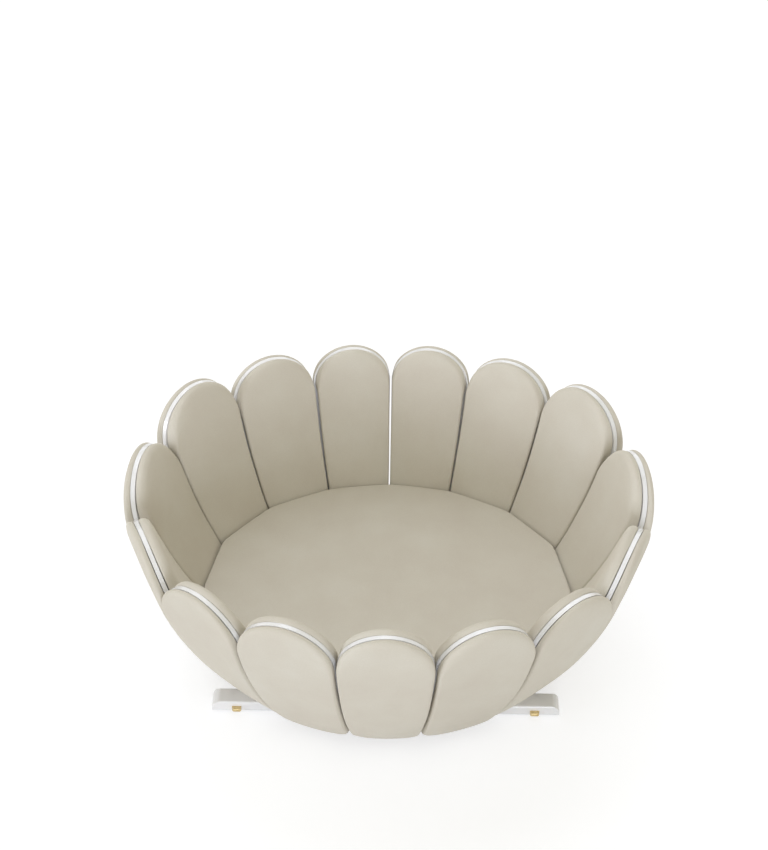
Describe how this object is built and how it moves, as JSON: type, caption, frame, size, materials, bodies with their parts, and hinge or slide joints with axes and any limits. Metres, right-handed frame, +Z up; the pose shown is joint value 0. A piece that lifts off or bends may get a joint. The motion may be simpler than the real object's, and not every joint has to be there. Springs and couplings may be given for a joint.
{
  "type": "kids bed",
  "caption": "Low oval kids bed shaped like an open flower, with padded petals leaning out round a flat mattress, on two white rails with levelling feet.",
  "frame": {"origin": "on the floor below the middle of the bed", "axes": "+X to the right along the bed's length, +Y to the rear, +Z up; the front petal is at -Y"},
  "size_m": [1.9324, 1.7527, 0.812],
  "materials": {
    "leather": "matt beige, finely grained",
    "lacquer": "glossy white lacquer on plywood",
    "birch": "clear matt varnish",
    "brass": "polished",
    "steel": "zinc plated"
  },
  "bodies": {
    "bed": {"mattress": "leather", "base_deck": "birch", "cross_bearers": "birch", "front_rail": "lacquer", "rear_rail": "lacquer", "foot_lugs": "brass", "rail_bolts": "steel", "deck_screws": "steel", "panel_brackets": "steel", "bracket_screws": "steel", "petal_panel_01": "lacquer", "inner_pad_01": "leather", "outer_pad_01": "leather", "petal_panel_02": "lacquer", "inner_pad_02": "leather", "outer_pad_02": "leather", "petal_panel_03": "lacquer", "inner_pad_03": "leather", "outer_pad_03": "leather", "petal_panel_04": "lacquer", "inner_pad_04": "leather", "outer_pad_04": "leather", "petal_panel_05": "lacquer", "inner_pad_05": "leather", "outer_pad_05": "leather", "petal_panel_06": "lacquer", "inner_pad_06": "leather", "outer_pad_06": "leather", "petal_panel_07": "lacquer", "inner_pad_07": "leather", "outer_pad_07": "leather", "petal_panel_08": "lacquer", "inner_pad_08": "leather", "outer_pad_08": "leather", "petal_panel_09": "lacquer", "inner_pad_09": "leather", "outer_pad_09": "leather", "petal_panel_10": "lacquer", "inner_pad_10": "leather", "outer_pad_10": "leather", "petal_panel_11": "lacquer", "inner_pad_11": "leather", "outer_pad_11": "leather", "petal_panel_12": "lacquer", "inner_pad_12": "leather", "outer_pad_12": "leather", "petal_panel_13": "lacquer", "inner_pad_13": "leather", "outer_pad_13": "leather", "petal_panel_14": "lacquer", "inner_pad_14": "leather", "outer_pad_14": "leather", "petal_panel_15": "lacquer", "inner_pad_15": "leather", "outer_pad_15": "leather"},
    "front_left_foot": {"front_left_foot": "brass"},
    "front_right_foot": {"front_right_foot": "brass"},
    "rear_left_foot": {"rear_left_foot": "brass"},
    "rear_right_foot": {"rear_right_foot": "brass"}
  },
  "joints": [
    {"name": "front_left_foot_screw", "type": "slide", "parent": "bed", "child": "front_left_foot", "axis": [0, 0, -1], "range_m": [0, 0.008]},
    {"name": "front_right_foot_screw", "type": "slide", "parent": "bed", "child": "front_right_foot", "axis": [0, 0, -1], "range_m": [0, 0.008]},
    {"name": "rear_left_foot_screw", "type": "slide", "parent": "bed", "child": "rear_left_foot", "axis": [0, 0, -1], "range_m": [0, 0.008]},
    {"name": "rear_right_foot_screw", "type": "slide", "parent": "bed", "child": "rear_right_foot", "axis": [0, 0, -1], "range_m": [0, 0.008]}
  ]
}
